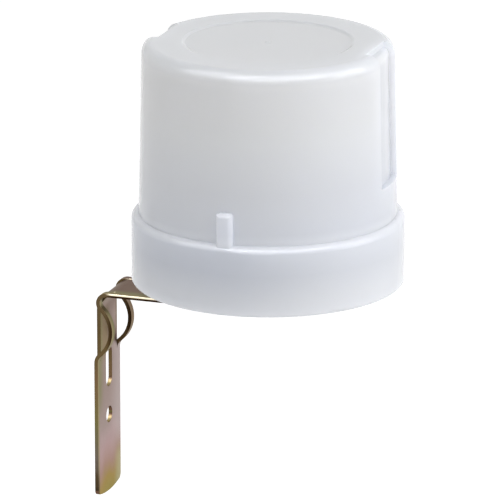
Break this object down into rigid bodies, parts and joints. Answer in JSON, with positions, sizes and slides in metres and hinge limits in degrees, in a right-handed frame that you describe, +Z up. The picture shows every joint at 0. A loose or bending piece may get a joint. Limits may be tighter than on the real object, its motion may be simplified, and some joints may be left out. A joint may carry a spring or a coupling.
{
  "type": "photocell switch",
  "caption": "Wall-mounted dusk switch: a translucent round cover on a base that carries a circuit board, relay and light sensor, held out from the wall by a folded steel bracket.",
  "frame": {"origin": "centre of the round fixing hole, on the face of the bracket that lies against the wall", "axes": "+X straight out from the wall towards the cover's axis, +Z up along the cover's axis"},
  "size_m": [0.0797, 0.07, 0.1248],
  "materials": {
    "cover_plastic": "translucent milky white, smooth moulded",
    "base_plastic": "moulded, fine matt",
    "grommet_rubber": "matt black",
    "yellow_zinc": "zinc plated, yellow passivated, iridescent",
    "bright_zinc": "zinc plated, bright",
    "spring_steel": "zinc plated, dull",
    "board_laminate": "bonded paper laminate",
    "eyelet_brass": "rolled",
    "solder": "solidified, bright",
    "tinned_wire": "drawn and tinned",
    "relay_plastic": "moulded case",
    "film_capacitor": "dipped resin",
    "can_sleeve": "shrunk sleeve",
    "diode_resin": "moulded",
    "zener_glass": "glass body",
    "resistor_lacquer": "lacquered",
    "varistor_resin": "dipped resin",
    "sensor_ceramic": "unglazed",
    "sensor_resin": "clear resin over the track",
    "sleeve_plastic": "flexible tube"
  },
  "bodies": {
    "root": {"cover": "cover_plastic", "base": "base_plastic", "cable_grommet": "grommet_rubber", "bracket": "yellow_zinc", "bracket_screw": "bright_zinc", "spring_washer": "spring_steel", "bracket_nut": "bright_zinc", "circuit_board": "board_laminate", "board_screws": "bright_zinc", "wire_eyelets": "eyelet_brass", "solder_joints": "solder", "relay_case": "relay_plastic", "relay_pins": "tinned_wire", "dropper_capacitor": "film_capacitor", "dropper_leads": "tinned_wire", "smoothing_capacitor": "can_sleeve", "smoothing_leads": "tinned_wire", "rectifier_diodes": "diode_resin", "rectifier_leads": "tinned_wire", "zener_diode": "zener_glass", "zener_leads": "tinned_wire", "resistors": "resistor_lacquer", "resistor_leads": "tinned_wire", "transistor": "diode_resin", "transistor_leads": "tinned_wire", "varistor": "varistor_resin", "varistor_leads": "tinned_wire", "light_sensor": "sensor_ceramic", "sensor_window": "sensor_resin", "sensor_leads": "tinned_wire", "sensor_sleeves": "sleeve_plastic"}
  },
  "joints": []
}
